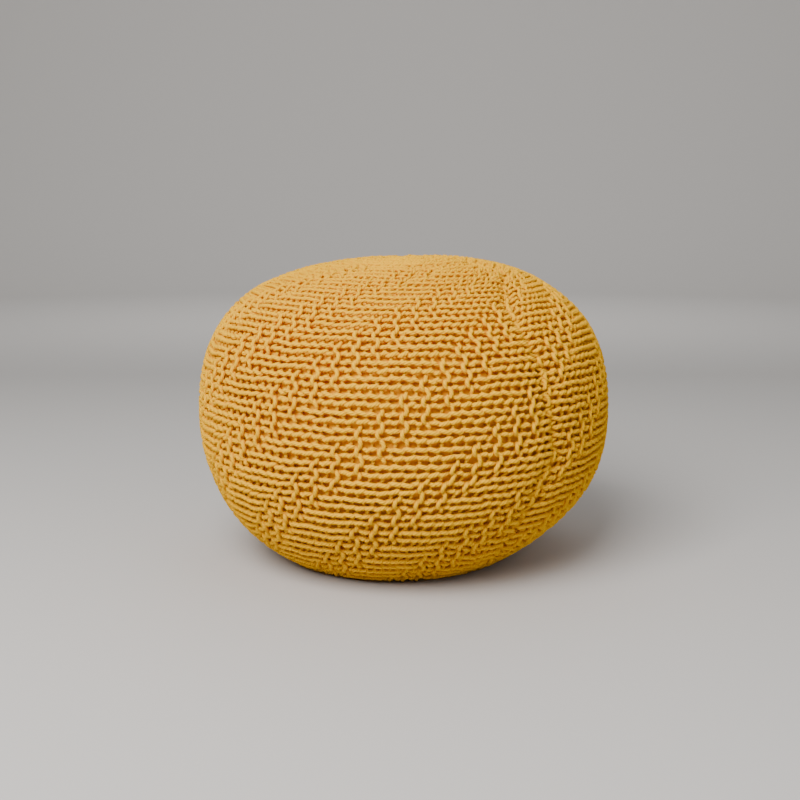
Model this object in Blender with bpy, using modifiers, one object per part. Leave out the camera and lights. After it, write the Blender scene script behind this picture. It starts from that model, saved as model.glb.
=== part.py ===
"""Knitted pouf: a filled casing inside a cover knitted from thick cotton cord.

The cover is one knitted panel, seamed up one side and drawn together at both ends. Its wales run round
the pouf, so they are ribs here, and the drawn ends leave a small hole at the top and at the bottom.
Metres, +Z up. The pouf stands on Z = 0, centred on X = Y = 0, with its front towards -Y.
"""
import bmesh
import bpy
import numpy as np
from math import atan2, cos, degrees, exp, hypot, pi, radians, sin
from mathutils import Matrix, Vector

# Driving dimensions of the outside, over the crests of the ribs
HALF_WIDTH = 0.254         # the widest ring, from the middle
CROWN_RISE = 0.191         # from the widest ring up to the top
BELLY_DROP = 0.220         # from the widest ring down to where an unloaded belly would end
SETTLED = 0.036            # how much of the belly the weight presses flat on the floor
CROWN_SQUARE = (2.43, 2.73)    # exponents of the crown's curve, for height and for radius
BELLY_SQUARE = (2.22, 1.80)    # the same for the belly

# The knitted cover
WALES = 31                 # ribs between the two drawn ends
WALE_WIDTHS = (            # wale counted from the top, how wide it is stretched, in millimetres
    (0, 28.0),
    (3, 26.5),
    (5, 22.6),
    (7, 17.8),
    (14, 18.2),
    (18, 19.3),
    (21, 21.2),
    (23, 27.0),
    (24.5, 31.0),
    (26, 30.5),
    (28, 29.0),
    (31, 28.0),
)
RIB_DEPTH = 0.0048         # crest to groove
RIB_SECTION = (            # share of the way across a rib, share of the depth
    (0.0, 1.0),
    (0.3, 0.0),
    (0.7, 0.0),
)
COVER_THICKNESS = 0.0098   # crest to the inside of the knit
TOP_HOLE = 0.012           # radius left open by the gather
BASE_HOLE = 0.018
PLEATS = 14                # folds that the top gather makes
PLEAT_HEIGHT = 0.0010
PLEAT_RING = 0.052         # radius at which the pleats stand highest
PLEAT_REACH = 0.028
GATHER_DIP = 0.003         # how far the gather pulls the top in
GATHER_REACH = 0.030
SEAM_DEPTH = 0.0035
SEAM_WIDTH = radians(4)
SEAM_ROUTE = (             # degrees above the widest ring, direction seen from above, from +X
    (-90, -52),
    (-22, -54),
    (-12, -52),
    (-5, -48),
    (18, -51),
    (28, -54),
    (37, -53),
    (45, -46),
    (55, -24),
    (90, -20),
)

# How the filling lies
LEAN = 0.0105              # the foot stands this far to the left of the crown
LEAN_FROM, LEAN_TO = 0.123, 0.003   # heights between which the lean comes in
TOP_TILT = 0.02            # slope of the top, which is a little higher on the right
TOP_FROM = 0.328           # height above which it slopes
BULGES = (                 # bulges round the side, share of the radius, direction of the first
    (2, 0.006, radians(20)),
    (3, 0.005, radians(-75)),
    (5, 0.003, radians(140)),
)

CLEARANCE = 0.0003         # between the casing and the cover
TURN_STEPS = 42
INNER_POINTS = 15          # points of a smooth wall, top to bottom
CURVE_POINTS = 400

COVER_COLOUR = (0.78, 0.44, 0.075, 1.0)
CASING_COLOUR = (0.70, 0.32, 0.030, 1.0)

FLOOR_TO_WIDEST = BELLY_DROP - SETTLED
HEIGHT = FLOOR_TO_WIDEST + CROWN_RISE


def half_curve(extent, exponents):
    """Radius and distance from the widest ring, from that ring to the end of the form."""
    rise = np.sin(np.linspace(0, pi / 2, CURVE_POINTS))
    height_power, radius_power = exponents
    radius = HALF_WIDTH * np.clip(1 - rise ** height_power, 0, None) ** (1 / radius_power)
    return radius, extent * rise


def outline(inset):
    """The side of the pouf from top to bottom, moved `inset` inwards, as length, radius and height."""
    crown_radius, crown = half_curve(CROWN_RISE, CROWN_SQUARE)
    belly_radius, belly = half_curve(BELLY_DROP, BELLY_SQUARE)
    radius = np.concatenate([crown_radius[::-1], belly_radius[1:]])
    height = FLOOR_TO_WIDEST + np.concatenate([crown[::-1], -belly[1:]])
    length = np.concatenate([[0], np.cumsum(np.hypot(np.diff(radius), np.diff(height)))])
    out_r = -np.gradient(height, length)
    out_z = np.gradient(radius, length)
    size = np.hypot(out_r, out_z)
    radius = np.clip(radius - inset * out_r / size, 0, None)
    height = np.maximum(height - inset * out_z / size, inset)
    return length / length[-1], radius, height


def wall(places, inset):
    """Points (radius, height) at `places`, each the share of the way from the top to the bottom."""
    share, radius, height = outline(inset)
    return np.stack([np.interp(places, share, radius), np.interp(places, share, height)], axis=1)


def ribbed_wall(top, base):
    """The outside of the cover between two places: a rib for each wale, flat where it rests."""
    edges = np.arange(WALES + 1)
    widths = np.interp(edges[:-1] + 0.5, *zip(*WALE_WIDTHS))
    shares = top + (base - top) * np.concatenate([[0], np.cumsum(widths)]) / widths.sum()
    places = [np.interp(wale + across, edges, shares) for wale in range(WALES) for across, _ in RIB_SECTION]
    depths = [depth for _ in range(WALES) for _, depth in RIB_SECTION]
    crest = wall(places, 0)
    groove = wall(places, RIB_DEPTH)
    standing = crest[:, 1] > 0
    return crest + (standing * depths)[:, None] * (groove - crest)


def place_of_radius(target, inset, at_top):
    """The share of the way down at which the outline has the radius `target`."""
    share, radius, _ = outline(inset)
    half = len(share) // 2
    if at_top:
        return float(np.interp(target, radius[:half], share[:half]))
    return float(np.interp(-target, -radius[half:], share[half:]))


def cover_profile():
    """The closed section of the cover: down its ribbed outside and back up its smooth inside."""
    top = place_of_radius(TOP_HOLE, 0, True)
    base = place_of_radius(BASE_HOLE, 0, False)
    outside = np.concatenate([ribbed_wall(top, base), [(BASE_HOLE, 0)]])
    inner_top = place_of_radius(TOP_HOLE, COVER_THICKNESS, True)
    inner_base = place_of_radius(BASE_HOLE, COVER_THICKNESS, False)
    inside = wall(np.linspace(inner_base, inner_top, INNER_POINTS), COVER_THICKNESS)
    return np.concatenate([outside, inside])


def casing_profile():
    """The casing's section from its top to its bottom, with its points level with the cover's."""
    inset = COVER_THICKNESS + CLEARANCE
    top = place_of_radius(TOP_HOLE, COVER_THICKNESS, True)
    base = place_of_radius(BASE_HOLE, COVER_THICKNESS, False)
    side = wall(np.linspace(top, base, INNER_POINTS), inset)
    return np.concatenate([[(0, side[0][1])], side, [(0, side[-1][1])]])


def turned(name, profile, closed):
    """Turn a section, given as radius and height, round the Z axis with a Screw modifier."""
    points = [(radius, 0, height) for radius, height in profile]
    edges = [(i, i + 1) for i in range(len(points) - 1)]
    if closed:
        edges.append((len(points) - 1, 0))
    mesh = bpy.data.meshes.new(name + "_section")
    mesh.from_pydata(points, edges, [])
    section = bpy.data.objects.new(name + "_section", mesh)
    bpy.context.scene.collection.objects.link(section)
    screw = section.modifiers.new("turn", "SCREW")
    screw.axis = "Z"
    screw.angle = 2 * pi
    screw.steps = TURN_STEPS
    screw.render_steps = TURN_STEPS
    screw.use_merge_vertices = True
    screw.merge_threshold = 0.0001
    depsgraph = bpy.context.evaluated_depsgraph_get()
    body = bpy.data.meshes.new_from_object(section.evaluated_get(depsgraph))
    bpy.data.objects.remove(section)
    body.name = name
    return body


def ease(value, start, end):
    """Rise smoothly from 0 at `start` to 1 at `end`."""
    share = min(max((value - start) / (end - start), 0), 1)
    return share * share * (3 - 2 * share)


def seam_direction(radius, height):
    """The seam's direction seen from above, which wanders on its way down the side."""
    above, direction = zip(*SEAM_ROUTE)
    return radians(np.interp(degrees(atan2(height - FLOOR_TO_WIDEST, radius)), above, direction))


def settled(point, pleated):
    """Where a point of the evenly turned form lies once the pouf is filled, drawn in and set down.

    The form's first column, towards +X, comes to lie along the seam, and the others beside it. The
    cover is pleated round its top gather, and the casing lies level under the lowest folds.
    """
    x, y, z = point
    radius = hypot(x, y)
    off_seam = atan2(y, x)
    direction = off_seam + seam_direction(radius, z)
    standing = sin(pi * min(max(z / HEIGHT, 0), 1))
    swell = 1 + standing * sum(
        size * cos(count * (direction - first)) for count, size, first in BULGES
    )
    seam = SEAM_DEPTH * standing * exp(-(off_seam / SEAM_WIDTH) ** 2)
    on_crown = ease(z, FLOOR_TO_WIDEST, HEIGHT - COVER_THICKNESS)
    fold = cos(PLEATS * off_seam) if pleated else -1
    pleat = fold * exp(-((radius - PLEAT_RING) / PLEAT_REACH) ** 2)
    dip = exp(-(radius / GATHER_REACH) ** 2)
    reach = radius * swell - seam * min(1, radius / SEAM_DEPTH)
    across = reach * cos(direction)
    tilt = TOP_TILT * across * ease(z, TOP_FROM, HEIGHT)
    return Vector((
        across - LEAN * ease(z, LEAN_FROM, LEAN_TO),
        reach * sin(direction),
        z + on_crown * (PLEAT_HEIGHT * pleat - GATHER_DIP * dip) + tilt,
    ))


def finish(name, body, pleated, material, collection):
    """Settle a turned body, shade it smooth and put it in the collection under its own name.

    Each face is divided along its shorter diagonal, so that the casing fits inside the cover.
    """
    shape = bmesh.new()
    shape.from_mesh(body)
    for vertex in shape.verts:
        vertex.co = settled(vertex.co, pleated)
    bmesh.ops.triangulate(shape, faces=shape.faces, quad_method="SHORT_EDGE")
    shape.to_mesh(body)
    shape.free()
    body.shade_smooth()
    body.materials.append(material)
    piece = bpy.data.objects.new(name, body)
    collection.objects.link(piece)
    return piece


def centre_on_floor(pieces):
    """Move all pieces together, so that the middle of the whole form is over the origin."""
    corners = np.array([v.co for piece in pieces for v in piece.data.vertices])
    middle = (corners.min(axis=0) + corners.max(axis=0)) / 2
    for piece in pieces:
        piece.data.transform(Matrix.Translation((-middle[0], -middle[1], -corners[:, 2].min())))


def cloth(name, colour, roughness):
    material = bpy.data.materials.new(name)
    material.use_nodes = True
    shader = material.node_tree.nodes["Principled BSDF"]
    shader.inputs["Base Color"].default_value = colour
    shader.inputs["Roughness"].default_value = roughness
    shader.inputs["Metallic"].default_value = 0
    return material


def build():
    for leftover in list(bpy.data.objects):
        bpy.data.objects.remove(leftover)
    collection = bpy.data.collections.new("knitted_pouf")
    bpy.context.scene.collection.children.link(collection)
    cover = turned("knitted_cover", cover_profile(), closed=True)
    casing = turned("inner_casing", casing_profile(), closed=False)
    cord = cloth("cotton cord", COVER_COLOUR, 0.9)
    cotton = cloth("casing cloth", CASING_COLOUR, 0.8)
    centre_on_floor([
        finish("knitted_cover", cover, True, cord, collection),
        finish("inner_casing", casing, False, cotton, collection),
    ])


build()
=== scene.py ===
from math import atan, cos, pi, radians, sin

import bpy
import numpy as np
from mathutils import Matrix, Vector


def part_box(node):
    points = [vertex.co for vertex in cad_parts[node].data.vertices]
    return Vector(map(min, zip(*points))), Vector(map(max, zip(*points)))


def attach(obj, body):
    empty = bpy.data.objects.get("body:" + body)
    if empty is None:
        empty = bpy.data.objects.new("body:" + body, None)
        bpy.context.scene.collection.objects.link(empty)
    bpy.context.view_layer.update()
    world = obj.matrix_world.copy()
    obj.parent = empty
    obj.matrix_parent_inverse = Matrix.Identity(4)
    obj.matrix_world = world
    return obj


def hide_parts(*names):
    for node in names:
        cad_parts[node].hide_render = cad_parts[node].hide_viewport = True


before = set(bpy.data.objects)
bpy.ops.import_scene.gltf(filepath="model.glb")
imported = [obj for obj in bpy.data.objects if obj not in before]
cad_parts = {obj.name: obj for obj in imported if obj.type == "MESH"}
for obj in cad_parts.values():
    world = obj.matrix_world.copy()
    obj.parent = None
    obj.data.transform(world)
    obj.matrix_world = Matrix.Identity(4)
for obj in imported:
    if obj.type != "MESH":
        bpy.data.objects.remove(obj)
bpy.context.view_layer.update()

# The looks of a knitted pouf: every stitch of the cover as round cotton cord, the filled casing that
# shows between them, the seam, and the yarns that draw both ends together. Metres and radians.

# ---------------------------------------------------------------------------------------------
# The form that the solids have
# ---------------------------------------------------------------------------------------------

HALF_WIDTH = 0.254             # the widest ring, over the crests of the knit
CROWN_RISE = 0.191             # from the widest ring up to the top
BELLY_DROP = 0.220             # from the widest ring down to where an unloaded belly would end
SETTLED = 0.036                # how much of the belly the weight presses flat
CROWN_SQUARE = (2.43, 2.73)    # exponents of the crown's curve, for height and for radius
BELLY_SQUARE = (2.22, 1.80)    # the same for the belly
COVER_THICKNESS = 0.0098       # crest to the inside of the knit
TOP_HOLE = 0.012               # radius left open by the gather
BASE_HOLE = 0.018
PLEATS = 14                    # folds that the top gather makes
PLEAT_HEIGHT = 0.0010
PLEAT_RING = 0.052             # radius at which the pleats stand highest
PLEAT_REACH = 0.028
GATHER_DIP = 0.003             # how far the gather pulls the top in
GATHER_REACH = 0.030
SEAM_DEPTH = 0.0035            # how far the seam draws the side in
SEAM_WIDTH = radians(4)
SEAM_DROP = 0.0050             # how far the seam sinks into the crown, in the looks alone
SEAM_DROP_WIDTH = 0.009
SEAM_ROUTE = (                 # degrees above the widest ring, direction seen from above, from +X
    (-90, -52),
    (-22, -54),
    (-12, -52),
    (-5, -48),
    (18, -51),
    (28, -54),
    (37, -53),
    (45, -46),
    (55, -24),
    (90, -20),
)
LEAN = 0.0105                  # the foot stands this far to the left of the crown
LEAN_FROM, LEAN_TO = 0.123, 0.003   # heights between which the lean comes in
TOP_TILT = 0.02                # slope of the top, which is a little higher on the right
TOP_FROM = 0.328               # height above which it slopes
BULGES = (                     # bulges round the side, share of the radius, direction of the first
    (2, 0.006, radians(20)),
    (3, 0.005, radians(-75)),
    (5, 0.003, radians(140)),
)
FLOOR_TO_WIDEST = BELLY_DROP - SETTLED
HEIGHT = FLOOR_TO_WIDEST + CROWN_RISE
CURVE_POINTS = 600
OFFSET_PLACES, OFFSET_COLUMNS = 200, 361   # points at which the form is measured, down and round


def half_curve(extent, exponents):
    """Radius and distance from the widest ring, from that ring to the end of the form."""
    rise = np.sin(np.linspace(0, pi / 2, CURVE_POINTS))
    height_power, radius_power = exponents
    radius = HALF_WIDTH * np.clip(1 - rise ** height_power, 0, None) ** (1 / radius_power)
    return radius, extent * rise


def crest_outline():
    """The pouf's side from top to bottom: share of the way, radius, height and outward normal."""
    crown_radius, crown = half_curve(CROWN_RISE, CROWN_SQUARE)
    belly_radius, belly = half_curve(BELLY_DROP, BELLY_SQUARE)
    radius = np.concatenate([crown_radius[::-1], belly_radius[1:]])
    height = FLOOR_TO_WIDEST + np.concatenate([crown[::-1], -belly[1:]])
    length = np.concatenate([[0], np.cumsum(np.hypot(np.diff(radius), np.diff(height)))])
    out_r = -np.gradient(height, length)
    out_z = np.gradient(radius, length)
    size = np.hypot(out_r, out_z)
    return length / length[-1], radius, height, out_r / size, out_z / size


SIDE_SHARE, SIDE_RADIUS, SIDE_HEIGHT, SIDE_OUT_R, SIDE_OUT_Z = crest_outline()


def side_radius(share):
    """Radius of the crest line, a share of the way down."""
    return np.interp(share, SIDE_SHARE, SIDE_RADIUS)


def share_at_radius(target, at_top):
    """The share of the way down at which the crest line has the radius `target`."""
    half = len(SIDE_SHARE) // 2
    if at_top:
        return float(np.interp(target, SIDE_RADIUS[:half], SIDE_SHARE[:half]))
    return float(np.interp(-target, -SIDE_RADIUS[half:], SIDE_SHARE[half:]))


def ease(value, start, end):
    """Rise smoothly from 0 at `start` to 1 at `end`."""
    share = np.clip((value - start) / (end - start), 0, 1)
    return share * share * (3 - 2 * share)


def seam_direction(radius, height):
    """The seam's direction seen from above, which wanders on its way down the side."""
    above = np.degrees(np.arctan2(height - FLOOR_TO_WIDEST, radius))
    return np.radians(np.interp(above, *zip(*SEAM_ROUTE)))


def half_turn(angle):
    """The same angle, between minus and plus half a turn."""
    return (angle + pi) % (2 * pi) - pi


def settled(x, y, z, pleated):
    """Where points of the evenly turned form lie once the pouf is filled, drawn in and set down."""
    radius = np.hypot(x, y)
    direction = np.arctan2(y, x)
    standing = np.sin(pi * np.clip(z / HEIGHT, 0, 1))
    swell = 1 + standing * sum(size * np.cos(n * (direction - first)) for n, size, first in BULGES)
    off_seam = half_turn(direction - seam_direction(radius, z))
    seam = SEAM_DEPTH * standing * np.exp(-(off_seam / SEAM_WIDTH) ** 2)
    on_crown = ease(z, FLOOR_TO_WIDEST, HEIGHT - COVER_THICKNESS)
    fold = np.cos(PLEATS * off_seam) if pleated else -1
    pleat = fold * np.exp(-((radius - PLEAT_RING) / PLEAT_REACH) ** 2)
    dip = np.exp(-(radius / GATHER_REACH) ** 2)
    groove = ease(radius, PLEAT_RING, 2 * PLEAT_RING) * np.exp(-(off_seam * radius / SEAM_DROP_WIDTH) ** 2)
    reach = radius * swell - seam * np.minimum(1, radius / SEAM_DEPTH)
    across = reach * np.cos(direction)
    tilt = TOP_TILT * across * ease(z, TOP_FROM, HEIGHT)
    return np.stack([
        across - LEAN * ease(z, LEAN_FROM, LEAN_TO),
        reach * np.sin(direction),
        z + on_crown * (PLEAT_HEIGHT * pleat - GATHER_DIP * dip - SEAM_DROP * groove) + tilt,
    ], axis=-1)


def on_form(share, direction, inset, pleated=True):
    """Points `inset` inside the crests, a share of the way down, in a direction seen from above."""
    radius = side_radius(share) - inset * np.interp(share, SIDE_SHARE, SIDE_OUT_R)
    height = np.interp(share, SIDE_SHARE, SIDE_HEIGHT) - inset * np.interp(share, SIDE_SHARE, SIDE_OUT_Z)
    radius = np.maximum(radius, 0)
    height = np.maximum(height, inset)
    return settled(radius * np.cos(direction), radius * np.sin(direction), height, pleated) + OFFSET


def offset_to_frame():
    """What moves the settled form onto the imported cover."""
    share, direction = np.meshgrid(np.linspace(0, 1, OFFSET_PLACES), np.linspace(-pi, pi, OFFSET_COLUMNS))
    form = on_form(share, direction, 0)
    low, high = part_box("knitted_cover")
    middle = (form.min(axis=(0, 1)) + form.max(axis=(0, 1))) / 2
    return np.array([(low[0] + high[0]) / 2 - middle[0], (low[1] + high[1]) / 2 - middle[1], 0])


OFFSET = np.zeros(3)           # until the form has been measured
OFFSET = offset_to_frame()

# ---------------------------------------------------------------------------------------------
# The knit: courses run from the top to the bottom, wales run round
# ---------------------------------------------------------------------------------------------

WALES = 31
PLACES_IN_WALE = 4
WALE_WIDTHS = (                # wale counted from the top, how wide it is stretched, in metres
    (0, 0.0280),
    (3, 0.0265),
    (5, 0.0226),
    (7, 0.0178),
    (14, 0.0182),
    (18, 0.0193),
    (21, 0.0212),
    (23, 0.0270),
    (24.5, 0.0310),
    (26, 0.0305),
    (28, 0.0290),
    (31, 0.0280),
)
FULL_WIDTH = 0.018             # width of a wale in which the legs draw in and out fully
COURSES = 130
CORD_RADIUS = 0.0024
CORD_SIDES = 6                 # faces round a cord
PANEL_PIECES = 6               # pieces that the panel is split into
SEAM_LEFT = radians(38.7)      # even angle of the panel's first edge, from the front to the right
SEAM_GAP = radians(1.56)       # between the panel's two edges
SEAM_MIDDLE = radians(-48.7)   # direction of the seam where it doesn't wander
DRAG_REACH = radians(50)       # how far round the courses follow the wandering seam
COURSE_TURN = (2 * pi - SEAM_GAP) / COURSES
FRONT_STRETCH = (              # share of the way down, how much the panel is stretched round the front
    (0.70, 0.05),
    (0.80, 0.28),
)
LOOP_REACH = 0.75              # half a loop's height, as a share of the step between courses
LOOP_WAIST = 0.175             # how far the legs draw in at the foot and out at the head
FULL_ROOM = 0.0128             # step between courses at which the legs spread fully
ROOM_EASE = 0.7                # exponent with which they straighten as that step narrows
LEG_PAIRING = 0.02             # how far both legs lean together, which opens the gap between wales
WAIST_VARIES = 0.15            # how much single loops differ in waist, as a share
HEIGHT_VARIES = 0.06           # and in height
PLACE_VARIES = 0.02            # and in their place across the wale, in wales
WALE_DRIFT = 0.08              # how far the knit wanders as a whole, in wales
COURSE_DRIFT = 0.12            # and in courses
DEPTH_DRIFT = 0.0005           # and in depth
THICKNESS_DRIFT = 0.04         # how much the cord's thickness varies, as a share
DRIFT_WAVES = (                # waves round the pouf, waves along the wales in radians a wale
    (3, 0.21),
    (7, 0.43),
    (13, 0.9),
    (29, 1.7),
    (47, 2.6),
)
LOOP_SEED = 7
WALE_SEED, COURSE_SEED, DEPTH_SEED, THICKNESS_SEED, SEAM_SEED = 11, 12, 13, 14, 21
CORD_CROSSING = 0.0025         # depth of a crossing cord's middle, from the middle of the knit
LEG_START = 0.1                # share of that depth at which a leg passes the row's edge
PULLED_FLAT = (                # wale, share of that depth left where the gather pulls the knit flat
    (5, 0.55),
    (11, 1.0),
)
CORD_BEHIND = 0.78             # thickness of the cord where it passes behind, against in front
THIN_CORD = 0.55               # thickness towards which the cord thins where the courses crowd
THICK_ROOM = 0.0105            # step between courses from which it is full
RUNG_DEPTH = (                 # wale, how far behind a plain stitch the cord bridges the gap between rows
    (5, -0.8),
    (11, 0.12),
)
RUNG_BETWEEN_POSTS = 1.0       # how far behind where both neighbours are purl
POST_HEIGHT = 0.95             # how far in front of a purl stitch it does
CORD_FULLNESS = (              # wale, how thick the cord lies there
    (0, 1.42),
    (3, 1.22),
    (6, 0.98),
    (10, 1.06),
    (14, 1.10),
    (21, 1.16),
    (24.5, 1.32),
    (31, 1.25),
)
KNIT_MIDDLE = 0.0050           # inset of the middle of the knit
BLOCK_WALES = 3                # purl blocks: three wales purl, three wales plain
BLOCK_START = 1                # wale at which the first course's purl block begins
EDGE_TUCK = 0.0035             # how far the end of a short course turns inwards
SHORT_ROWS = (                 # every so many courses, radius inside which the others have stopped
    (1, 0.105),
    (2, 0.052),
    (4, 0.026),
)
# Points of one loop, from its first foot over its head to its other foot, as shares of half a turn
LOOP_TIMES = np.array([-1, -0.85, -0.75, -0.64, -0.5, -0.35, -0.24, -0.13,
                       0, 0.13, 0.24, 0.35, 0.5, 0.64, 0.75, 0.85])

TOP_SHARE = share_at_radius(TOP_HOLE, True)
BASE_SHARE = share_at_radius(BASE_HOLE, False)


def wale_places():
    """Places counted in wales from the top, and the share of the way down of each."""
    wales = np.linspace(0, WALES, PLACES_IN_WALE * WALES + 1)
    widths = np.interp(wales, *zip(*WALE_WIDTHS))
    travelled = np.concatenate([[0], np.cumsum(widths[1:] + widths[:-1])])
    return wales, TOP_SHARE + (BASE_SHARE - TOP_SHARE) * travelled / travelled[-1]


WALE_PLACES = wale_places()


def share_of_wale(wale):
    """The share of the way down at which a wale lies."""
    return np.interp(wale, *WALE_PLACES)


SEAM_WANDER = seam_direction(SIDE_RADIUS, SIDE_HEIGHT) - SEAM_MIDDLE


def direction_of(turn, share):
    """Direction seen from above, from +X, of an even angle counted from the front to the right."""
    direction = turn + np.interp(share, *zip(*FRONT_STRETCH)) * np.sin(turn) - pi / 2
    drag = np.exp(-(half_turn(direction - SEAM_MIDDLE) / DRAG_REACH) ** 2)
    return direction + drag * np.interp(share, SIDE_SHARE, SEAM_WANDER)


def step_at(wale):
    """How many courses lie between two that run on, at a wale: more near the gathered ends."""
    radius = side_radius(share_of_wale(wale + 0.5))
    step = np.ones_like(wale)
    for every, inside in SHORT_ROWS:
        step = np.where(radius < inside, 2 * every, step)
    return step


def is_purl(course, wale):
    """The cover's diagonal blocks: every second course, stepping one wale lower each time."""
    in_block = (wale - course // 2 - BLOCK_START) % (2 * BLOCK_WALES) < BLOCK_WALES
    return (course % 2 == 0) & in_block & (step_at(wale) == 1)


def unevenness(turn, wale, seed):
    """A smooth field between about -1 and 1 over the panel, the same each run."""
    draw = np.random.default_rng(seed)
    total = np.zeros(np.broadcast(turn, wale).shape)
    for around, along in DRIFT_WAVES:
        turn_by, wale_by = draw.uniform(0, 2 * pi, 2)
        total += np.sin(around * turn + turn_by + draw.uniform(-1, 1) * along * wale)
        total += np.sin(along * wale + wale_by + 0.5 * around * turn)
    return total / len(DRIFT_WAVES)


def between_purls(course, wale):
    """Whether the stitches on both sides in the same wale are purl."""
    return is_purl(course - 1, wale) & is_purl(course + 1, wale)


def bridge_depth(side, wale, between):
    """Depth of a cord where it goes from one row to the next."""
    rung = np.where(between, RUNG_BETWEEN_POSTS, np.interp(wale, *zip(*RUNG_DEPTH)))
    return -side * np.where(side > 0, rung, POST_HEIGHT)


def course_cord(course, draw):
    """One course's cord, top to bottom: its path, its thickness, and how far in front it lies."""
    wales = np.arange(WALES)
    steps = step_at(wales)
    wales = wales[course % steps == 0]
    steps = steps[wales]
    ahead = np.minimum(steps, COURSES - course)
    behind = np.minimum(steps, course + 1)
    side = np.where(is_purl(course, wales), -1.0, 1.0)
    side_ahead = np.where(is_purl(course + ahead, wales), -1.0, 1.0)
    side_before = np.concatenate([side[:1], side[:-1]])
    between = between_purls(course, wales)
    between_before = between & np.concatenate([between[:1], between[:-1]])
    between_ahead = between_purls(course + ahead, wales)

    times = LOOP_TIMES[None, :] * pi
    room = COURSE_TURN * side_radius(share_of_wale(wales + 0.5)) * steps
    slack = FULL_WIDTH / np.interp(wales + 0.5, *zip(*WALE_WIDTHS))
    waist = LOOP_WAIST * (slack * np.minimum(1, room / FULL_ROOM) ** ROOM_EASE)[:, None]
    waist = waist * (1 + WAIST_VARIES * draw.standard_normal((len(wales), 1)))
    size = 1 + HEIGHT_VARIES * draw.standard_normal((len(wales), 1))
    across = times / (2 * pi) + waist * np.sin(2 * times) - LEG_PAIRING * np.sin(times)
    across = across + PLACE_VARIES * draw.standard_normal((len(wales), 1))
    toward = np.where(np.cos(times) > 0, ahead[:, None], behind[:, None])
    reach = LOOP_REACH * size * toward * np.cos(times)

    foot = bridge_depth((side + side_before) / 2, wales, between_before)
    head = bridge_depth(side_ahead, wales, between_ahead)
    middle = (side + side_ahead) / 2
    from_foot, into_head = -LEG_START * side, LEG_START * side_ahead
    depth = np.stack([
        foot, -side, from_foot, side, middle, side_ahead, into_head, -side_ahead,
        head, -side_ahead, into_head, side_ahead, middle, side, from_foot, -side,
    ], axis=1)

    wale = (wales[:, None] + 0.5 + across).ravel()
    wale = np.append(wale, wales[-1] + 1.0)
    turn = SEAM_LEFT - COURSE_TURN * (course + 0.5 + np.append(reach.ravel(), reach[-1, 0]))
    depth = np.append(depth.ravel(), bridge_depth(side[-1], wales[-1], between[-1]))

    room = np.append(np.repeat(room, len(LOOP_TIMES)), room[-1])
    wale = wale + WALE_DRIFT * unevenness(turn, wale, WALE_SEED)
    turn = turn + COURSE_DRIFT * COURSE_TURN * unevenness(turn, wale, COURSE_SEED)
    thickness = CORD_RADIUS * np.minimum(1, THIN_CORD + (1 - THIN_CORD) * room / THICK_ROOM)
    thickness = thickness * np.interp(wale, *zip(*CORD_FULLNESS))
    depth = depth * np.interp(wale, *zip(*PULLED_FLAT))
    front = (depth + 1) / 2
    thickness = thickness * (CORD_BEHIND + (1 - CORD_BEHIND) * front)
    thickness = thickness * (1 + THICKNESS_DRIFT * unevenness(3 * turn, 2 * wale, THICKNESS_SEED))
    inset = KNIT_MIDDLE - CORD_CROSSING * depth + DEPTH_DRIFT * unevenness(turn, wale, DEPTH_SEED)
    if steps[0] > 1 or steps[-1] > 1 or course % 2:
        inset[0] += EDGE_TUCK
        inset[-1] += EDGE_TUCK
    share = share_of_wale(wale)
    return on_form(share, direction_of(turn, share), np.maximum(inset, thickness)), thickness, front


# ---------------------------------------------------------------------------------------------
# Geometry Nodes: a round cord along every path
# ---------------------------------------------------------------------------------------------


def add_node(tree, kind, settings=None, inputs=None):
    """Add any node: its settings are set first, then the values or links of its sockets."""
    node = tree.nodes.new(kind)
    for name, value in (settings or {}).items():
        setattr(node, name, value)
    for name, value in (inputs or {}).items():
        if isinstance(value, bpy.types.NodeSocket):
            tree.links.new(value, node.inputs[name])
        else:
            node.inputs[name].default_value = value
    return node


def round_cord_tree():
    """Paths in, round cord out: `wrap` holds each point's place round the cord."""
    tree = bpy.data.node_groups.new("round cord", "GeometryNodeTree")
    for name, way, kind in (
        ("Paths", "INPUT", "NodeSocketGeometry"),
        ("Sides", "INPUT", "NodeSocketInt"),
        ("Finish", "INPUT", "NodeSocketMaterial"),
        ("Cord", "OUTPUT", "NodeSocketGeometry"),
    ):
        tree.interface.new_socket(name, in_out=way, socket_type=kind)
    given = add_node(tree, "NodeGroupInput")
    thickness = add_node(
        tree, "GeometryNodeInputNamedAttribute", {"data_type": "FLOAT"}, {"Name": "thickness"},
    )
    path = add_node(tree, "GeometryNodeMeshToCurve", None, {"Mesh": given.outputs["Paths"]})
    ring = add_node(
        tree, "GeometryNodeCurvePrimitiveCircle", None,
        {"Resolution": given.outputs["Sides"], "Radius": 1.0},
    )
    place = add_node(tree, "GeometryNodeInputPosition")
    marked = add_node(
        tree, "GeometryNodeStoreNamedAttribute", {"data_type": "FLOAT_VECTOR", "domain": "POINT"},
        {"Geometry": ring.outputs["Curve"], "Name": "wrap", "Value": place.outputs["Position"]},
    )
    sweep = add_node(tree, "GeometryNodeCurveToMesh", None, {
        "Curve": path.outputs["Curve"],
        "Profile Curve": marked.outputs["Geometry"],
        "Scale": thickness.outputs["Attribute"],
        "Fill Caps": True,
    })
    smooth = add_node(tree, "GeometryNodeSetShadeSmooth", None, {"Geometry": sweep.outputs["Mesh"]})
    real = add_node(tree, "GeometryNodeRealizeInstances", None, {"Geometry": smooth.outputs["Geometry"]})
    finished = add_node(
        tree, "GeometryNodeSetMaterial", None,
        {"Geometry": real.outputs["Geometry"], "Material": given.outputs["Finish"]},
    )
    add_node(tree, "NodeGroupOutput", None, {"Cord": finished.outputs["Geometry"]})
    return tree


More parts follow.
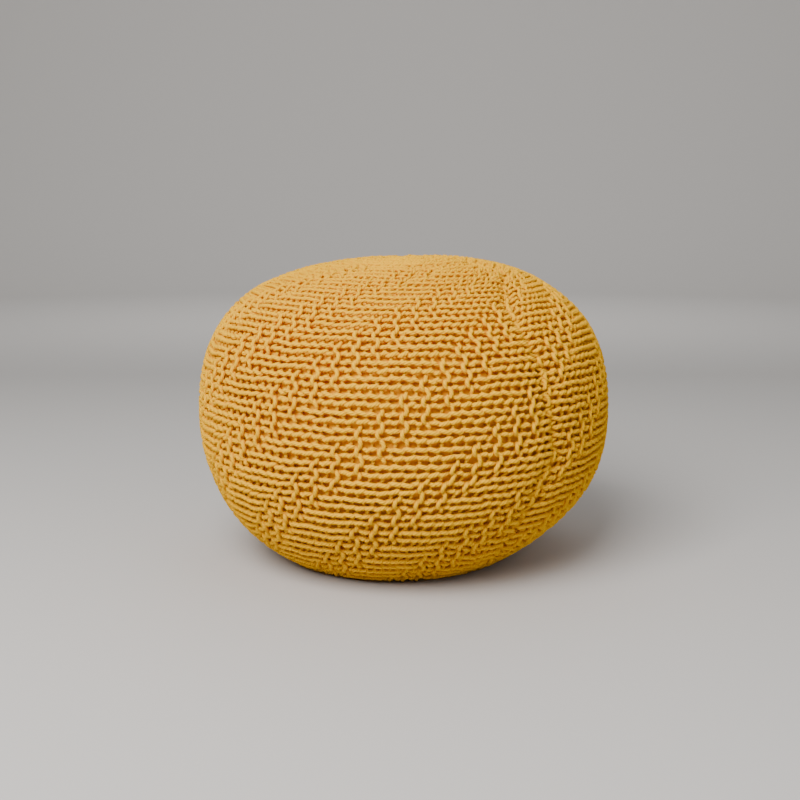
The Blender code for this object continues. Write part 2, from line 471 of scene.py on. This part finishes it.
def put_in_scene(name, mesh):
    """Give a mesh an object of that name in the scene."""
    piece = bpy.data.objects.new(name, mesh)
    bpy.context.scene.collection.objects.link(piece)
    return piece


FORM_SQUARE = 1.4              # how much squarer than round the form is taken to be for its slope


def mark_outward(mesh):
    """Store how far each point of a mesh faces outwards from the pouf, from -1 to 1, for the painted shade
    on sides turned inwards.
    """
    places = np.zeros(3 * len(mesh.vertices))
    facing = np.zeros(3 * len(mesh.vertices))
    mesh.vertices.foreach_get("co", places)
    mesh.vertex_normals.foreach_get("vector", facing)
    away = places.reshape(-1, 3) - OFFSET - (0, 0, FLOOR_TO_WIDEST)
    crown, belly = (HALF_WIDTH, HALF_WIDTH, CROWN_RISE), (HALF_WIDTH, HALF_WIDTH, BELLY_DROP)
    reach = np.where(away[:, 2:] > 0, crown, belly)
    slope = np.sign(away) * np.abs(away / reach) ** FORM_SQUARE / reach
    slope /= np.linalg.norm(slope, axis=1, keepdims=True)
    outward = (slope * facing.reshape(-1, 3)).sum(axis=1)
    mesh.attributes.new("outward", "FLOAT", "POINT").data.foreach_set("value", outward.astype(np.float32))


def cord_piece(name, paths, tree, finish):
    """One mesh of round cord along several paths, each as points, thickness, front and shade."""
    points = np.concatenate([path[0] for path in paths])
    counts = [len(path[0]) for path in paths]
    starts = np.concatenate([[0], np.cumsum(counts)])
    edges = [(i, i + 1) for start, count in zip(starts, counts) for i in range(start, start + count - 1)]
    mesh = bpy.data.meshes.new(name + "_paths")
    mesh.from_pydata(points.tolist(), edges, [])
    lengths = [
        np.concatenate([[0], np.cumsum(np.linalg.norm(np.diff(path[0], axis=0), axis=1))]) for path in paths
    ]
    for label, values in (
        ("thickness", np.concatenate([path[1] for path in paths])),
        ("along", np.concatenate(lengths)),
        ("front", np.concatenate([path[2] for path in paths])),
        ("shade", np.concatenate([np.full(len(path[0]), path[3]) for path in paths])),
    ):
        mesh.attributes.new(label, "FLOAT", "POINT").data.foreach_set("value", values.astype(np.float32))
    guide = put_in_scene(name + "_guide", mesh)
    sweep = guide.modifiers.new("cord", "NODES")
    sweep.node_group = tree
    sockets = {item.name: item.identifier for item in tree.interface.items_tree if item.in_out == "INPUT"}
    sweep[sockets["Sides"]] = CORD_SIDES
    sweep[sockets["Finish"]] = finish
    depsgraph = bpy.context.evaluated_depsgraph_get()
    made = bpy.data.meshes.new_from_object(guide.evaluated_get(depsgraph))
    bpy.data.objects.remove(guide)
    made.name = name
    mark_outward(made)
    return put_in_scene(name, made)


# ---------------------------------------------------------------------------------------------
# Finishes
# ---------------------------------------------------------------------------------------------

MIX_FACTOR, MIX_FIRST, MIX_SECOND, MIX_COLOUR = 0, 6, 7, 2   # the colour sockets of a Mix node


class Signal:
    """A shader socket that takes part in Python arithmetic."""

    def __init__(self, finish, socket):
        self.finish = finish
        self.socket = socket

    def __add__(self, other):
        return self.finish.number("ADD", self, other)

    def __sub__(self, other):
        return self.finish.number("SUBTRACT", self, other)

    def __rsub__(self, other):
        return self.finish.number("SUBTRACT", other, self)

    def __mul__(self, other):
        return self.finish.number("MULTIPLY", self, other)

    def __pow__(self, other):
        return self.finish.number("POWER", self, other)

    __radd__ = __add__
    __rmul__ = __mul__

    def beside(self, output):
        """Another output of the node that this one comes from."""
        return Signal(self.finish, self.socket.node.outputs[output])


class Finish:
    """A material made of one Principled shader and whatever nodes feed it."""

    def __init__(self, name, constants):
        self.material = bpy.data.materials.new(name)
        self.material.use_nodes = True
        self.tree = self.material.node_tree
        self.shader = self.tree.nodes["Principled BSDF"]
        for socket, value in constants.items():
            self.shader.inputs[socket].default_value = value

    def node(self, kind, settings=None, inputs=None, output=0):
        """Add any node and give one of its outputs."""
        given = {
            name: value.socket if isinstance(value, Signal) else value
            for name, value in (inputs or {}).items()
        }
        return Signal(self, add_node(self.tree, kind, settings, given).outputs[output])

    def number(self, operation, *values):
        return self.node("ShaderNodeMath", {"operation": operation}, dict(enumerate(values)))

    def attribute(self, name, output="Fac"):
        return self.node("ShaderNodeAttribute", {"attribute_name": name}, None, output)

    def place(self):
        return self.node("ShaderNodeTexCoord", None, None, "Object")

    def noise(self, where, scale, detail=2.0):
        return self.node("ShaderNodeTexNoise", None, {"Vector": where, "Scale": scale, "Detail": detail})

    def mix(self, factor, first, second):
        """Blend from the first colour to the second."""
        sockets = {MIX_FACTOR: factor, MIX_FIRST: first, MIX_SECOND: second}
        return self.node("ShaderNodeMix", {"data_type": "RGBA"}, sockets, MIX_COLOUR)

    def bump(self, height, distance):
        return self.node("ShaderNodeBump", None, {"Height": height, "Distance": distance, "Strength": 1.0})

    def feed(self, socket, signal):
        self.tree.links.new(signal.socket, self.shader.inputs[socket])


CORD_PAINTED_SHADE = (0.72, 0.270, 0.004, 1)    # painted shade colour for cord that passes behind, and for sides turned inwards
CORD_GROOVE_SHADE_AND_FLECKS = (0.78, 0.370, 0.005, 1)      # painted shade in the grooves between the plies, and the flecks' own deeper tone
CORD_MID = (0.88, 0.460, 0.004, 1)
CORD_PALE = (0.92, 0.490, 0.004, 1)
CASING_TONE = (0.93, 0.410, 0.008, 1)
CASING_PALE = (0.97, 0.490, 0.010, 1)
MATT = {"Roughness": 0.95, "Specular IOR Level": 0.1}
PLIES = 4
PLY_TURN = 0.016               # length of cord in which a ply goes once round
PLY_ROUND = 0.6                # how full a ply is: under 1, its groove is narrow
PLY_SHARE = 0.7                # share of the cord's relief that the plies make, against the fibres
CORD_RELIEF = 0.0011           # height of that relief
CASING_RELIEF = 0.0004         # the same for the casing's threads
DYE_SHARE = 0.6                # how much of a cord's shade the dye's patches make, against its course
PAINTED_GROOVE_SHADE = 0.55            # how much painted shade darkens the grooves between plies
DEEP_FLECKS = 0.5              # how much deeper in colour the flecks are
DEEP_START = 0.2               # how much of both it takes to begin
PAINTED_SHADE_BEHIND = 0.35           # how far cord that passes behind takes the painted shade colour
PAINTED_SHADE_TURNED = 0.5            # and how far the sides that turn away from outwards take that painted shade
TURNED_START = 0.8             # outwardness under which they do
FIBRES, THREADS, FLECKS, DYE_PATCHES, CASING_PATCHES = 900.0, 700.0, 260.0, 22.0, 18.0   # a metre


def cotton_cord():
    """Soft twisted cotton cord: plies round the cord, fine fibres, slightly uneven dye, and painted shade
    in the ply grooves, on cord that passes behind and on sides turned inwards.
    """
    cord = Finish("cotton cord", MATT)
    wrap_x = cord.node("ShaderNodeSeparateXYZ", None, {0: cord.attribute("wrap", "Vector")})
    around = cord.number("ARCTAN2", wrap_x.beside("Y"), wrap_x)
    along, shade = cord.attribute("along"), cord.attribute("shade")
    front, outward = cord.attribute("front"), cord.attribute("outward")
    twist = cord.number("SINE", (around * PLIES + along * (2 * pi * PLIES / PLY_TURN)) * 0.5)
    ply = cord.number("ABSOLUTE", twist) ** PLY_ROUND
    where = cord.place()
    fibres = cord.noise(where, FIBRES, 3.0)
    dye = cord.noise(where, DYE_PATCHES)
    flecks = cord.noise(where, FLECKS)
    tone = cord.mix(dye * DYE_SHARE + shade * (1 - DYE_SHARE), CORD_MID, CORD_PALE)
    # painted shade in the grooves between plies, together with flecks of deeper dye
    groove_shade_and_flecks = (1 - ply) * PAINTED_GROOVE_SHADE + flecks * DEEP_FLECKS - DEEP_START
    tone = cord.mix(groove_shade_and_flecks, tone, CORD_GROOVE_SHADE_AND_FLECKS)
    # painted shade on cord that passes behind and on sides turned away from outwards
    inside = (1 - front) * PAINTED_SHADE_BEHIND + (TURNED_START - outward) * PAINTED_SHADE_TURNED
    cord.feed("Base Color", cord.mix(inside, tone, CORD_PAINTED_SHADE))
    cord.feed("Normal", cord.bump(ply * PLY_SHARE + fibres * (1 - PLY_SHARE), CORD_RELIEF))
    return cord.material


def casing_cloth():
    """Plain-woven cotton over the filling, seen only between the stitches."""
    cloth = Finish("casing cloth", MATT)
    where = cloth.place()
    patches = cloth.noise(where, CASING_PATCHES)
    threads = cloth.noise(where, THREADS)
    cloth.feed("Base Color", cloth.mix(patches, CASING_TONE, CASING_PALE))
    cloth.feed("Normal", cloth.bump(threads, CASING_RELIEF))
    return cloth.material


# ---------------------------------------------------------------------------------------------
# The pieces
# ---------------------------------------------------------------------------------------------


def knit_panel(tree, finish):
    """The whole knitted panel, course by course, in a few pieces that lie side by side."""
    draw = np.random.default_rng(LOOP_SEED)
    courses = [course_cord(course, draw) + (draw.uniform(0, 1),) for course in range(COURSES)]
    ends = np.linspace(0, COURSES, PANEL_PIECES + 1).round().astype(int)
    for number, (first, last) in enumerate(zip(ends[:-1], ends[1:]), 1):
        piece = cord_piece(f"knit_panel_{number}", courses[first:last], tree, finish)
        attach(piece, "root")
        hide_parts("knitted_cover")


YARN_RADIUS = 0.0019           # the finer yarn of the seam and of both gathers
YARN_STEPS = 10                # points of that yarn to each stitch
SEAM_SWING = 0.75              # how far the seam's yarn reaches to each side, in courses
SEAM_INSET = 0.0045            # how deep it lies over the seam
SEAM_TUCK = 0.0030             # how much deeper it goes round the edge loops
SEAM_DRIFT = 0.1               # how far it wanders, in courses
YARN_FRONT = 0.5               # these yarns take half the painted shade of cord that passes behind, as if halfway between front and behind
YARN_SHADE = 0.5
GATHER_STITCHES = 13
GATHER_WEAVE = 0.0022          # how far the gathering yarn weaves in and out
GATHER_OVERLAP = radians(25)   # how far its two ends lie beside each other


def seam_yarn():
    """The path of the yarn that laces the panel's edges together, one stitch to each wale."""
    wale = np.linspace(0, WALES, WALES * YARN_STEPS + 1)
    swing = np.sin(2 * pi * wale)
    turn = SEAM_LEFT + SEAM_GAP / 2 + SEAM_SWING * COURSE_TURN * swing
    turn = turn + SEAM_DRIFT * COURSE_TURN * unevenness(turn, wale, SEAM_SEED)
    inset = SEAM_INSET + SEAM_TUCK * swing ** 4
    share = share_of_wale(wale)
    return on_form(share, direction_of(turn, share), inset)


def gather_yarn(radius, at_top):
    """The path of the yarn that draws an end together, woven through the last loops."""
    direction = np.linspace(0, 2 * pi + GATHER_OVERLAP, GATHER_STITCHES * YARN_STEPS)
    weave = GATHER_STITCHES * direction
    share = np.array([share_at_radius(reach, at_top) for reach in radius + GATHER_WEAVE * np.cos(weave)])
    inset = KNIT_MIDDLE + GATHER_WEAVE * np.sin(weave) - YARN_RADIUS * ease(direction, 0, 2 * pi)
    return on_form(share, direction, np.maximum(inset, YARN_RADIUS))


def sewing_yarns(tree, finish):
    """The seam's yarn and the two gathering yarns, each a piece of its own."""
    for name, path in (
        ("seam_yarn", seam_yarn()),
        ("top_gathering_yarn", gather_yarn(TOP_HOLE + GATHER_WEAVE, True)),
        ("base_gathering_yarn", gather_yarn(BASE_HOLE + GATHER_WEAVE, False)),
    ):
        thickness, front = np.full(len(path), YARN_RADIUS), np.full(len(path), YARN_FRONT)
        piece = cord_piece(name, [(path, thickness, front, YARN_SHADE)], tree, finish)
        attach(piece, "root")


CASING_INSET = 0.0103          # 0.5 mm under the inside of the knit
CASING_ROUND = 120
CASING_RINGS = 60


def casing(finish):
    """The filled casing: the form inside the knit, closed at both ends."""
    share = np.linspace(0, 1, CASING_RINGS + 1)[1:-1]
    direction = np.linspace(0, 2 * pi, CASING_ROUND, endpoint=False)
    rings = on_form(*np.meshgrid(share, direction, indexing="ij"), CASING_INSET, pleated=False)
    ends = on_form(np.array([0.0, 1.0]), np.zeros(2), CASING_INSET, pleated=False)
    corners = np.concatenate([rings.reshape(-1, 3), ends])
    around = range(CASING_ROUND)
    after = np.roll(np.arange(CASING_ROUND), -1).tolist()
    last = (len(rings) - 1) * CASING_ROUND
    top, bottom = last + CASING_ROUND, last + CASING_ROUND + 1
    faces = [
        (above + i, above + CASING_ROUND + i, above + CASING_ROUND + after[i], above + after[i])
        for above in range(0, last, CASING_ROUND) for i in around
    ]
    for i in around:
        faces += [(top, i, after[i]), (bottom, last + after[i], last + i)]
    mesh = bpy.data.meshes.new("filled_casing")
    mesh.from_pydata(corners.tolist(), [], faces)
    mesh.shade_smooth()
    mesh.materials.append(finish)
    piece = put_in_scene("filled_casing", mesh)
    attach(piece, "root")
    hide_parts("inner_casing")


# ---------------------------------------------------------------------------------------------
# Floor, light and camera
# ---------------------------------------------------------------------------------------------

CAMERA_BACK = 1.382
CAMERA_HEIGHT = 0.431
CAMERA_LEFT = 0.005
CAMERA_TILT = atan(191 / 1111)      # downwards
LENS, SENSOR = 50, 36               # millimetres
DAYLIGHT = (0.98, 0.99, 1.0, 1)
DAYLIGHT_STRENGTH = 0.50
POUF_MIDDLE, WALL_MIDDLE = (0, 0, 0.2), (0, 6.5, 1.5)
LAMPS = (                      # name, place, what it is aimed at, size, watts
    ("key", (-0.80, -1.6, 1.85), POUF_MIDDLE, 1.5, 110),
    ("fill", (1.9, -1.4, 1.3), POUF_MIDDLE, 1.8, 8),
    ("back", (0.2, 1.2, 2.2), POUF_MIDDLE, 1.4, 5),
    ("wall wash", (0, 2.4, 2.8), WALL_MIDDLE, 3.0, 90),
)
FLOOR_TONE = (0.47, 0.45, 0.43, 1)
WALL_BACK = 4.5                # where the floor begins to sweep up into the wall
SWEEP = 2.0                    # radius of that sweep
WALL_HEIGHT = 3.4
WALL_SIDES = 96
SWEEP_STEPS = 24


def backdrop():
    """A pale round floor that sweeps up into a wall all round."""
    rise = np.linspace(0, pi / 2, SWEEP_STEPS)
    reach = np.append(WALL_BACK + SWEEP * np.sin(rise), WALL_BACK + SWEEP)
    height = np.append(SWEEP * (1 - np.cos(rise)), WALL_HEIGHT)
    turn = np.linspace(0, 2 * pi, WALL_SIDES, endpoint=False)
    corners = [(0, 0, 0)] + [(r * cos(t), r * sin(t), z) for r, z in zip(reach, height) for t in turn]
    after = np.roll(np.arange(WALL_SIDES), -1).tolist()
    faces = [(0, 1 + i, 1 + after[i]) for i in range(WALL_SIDES)]
    for ring in range(SWEEP_STEPS):
        low, high = 1 + ring * WALL_SIDES, 1 + (ring + 1) * WALL_SIDES
        faces += [(low + i, high + i, high + after[i], low + after[i]) for i in range(WALL_SIDES)]
    mesh = bpy.data.meshes.new("backdrop")
    mesh.from_pydata(corners, [], faces)
    mesh.shade_smooth()
    mesh.materials.append(Finish("pale floor", {"Base Color": FLOOR_TONE, "Roughness": 0.95}).material)
    put_in_scene("backdrop", mesh)


def light():
    """Even daylight from all round and four large soft lamps."""
    world = bpy.data.worlds.new("studio")
    world.use_nodes = True
    sky = world.node_tree.nodes["Background"]
    sky.inputs["Color"].default_value = DAYLIGHT
    sky.inputs["Strength"].default_value = DAYLIGHT_STRENGTH
    bpy.context.scene.world = world
    for name, place, aim, size, power in LAMPS:
        lamp = bpy.data.lights.new(name, "AREA")
        lamp.size = size
        lamp.energy = power
        source = bpy.data.objects.new(name, lamp)
        source.location = place
        source.rotation_euler = (Vector(aim) - Vector(place)).to_track_quat("-Z", "Y").to_euler()
        bpy.context.scene.collection.objects.link(source)


def camera():
    """The view that the pouf is judged from, a little above it."""
    lens = bpy.data.cameras.new("camera")
    lens.lens = LENS
    lens.sensor_width = SENSOR
    view = bpy.data.objects.new("camera", lens)
    view.location = (-CAMERA_LEFT, -CAMERA_BACK, CAMERA_HEIGHT)
    view.rotation_euler = (pi / 2 - CAMERA_TILT, 0, 0)
    bpy.context.scene.collection.objects.link(view)
    bpy.context.scene.camera = view


camera()
backdrop()
light()
cord_tree = round_cord_tree()
cord_finish = cotton_cord()
knit_panel(cord_tree, cord_finish)
sewing_yarns(cord_tree, cord_finish)
casing(casing_cloth())
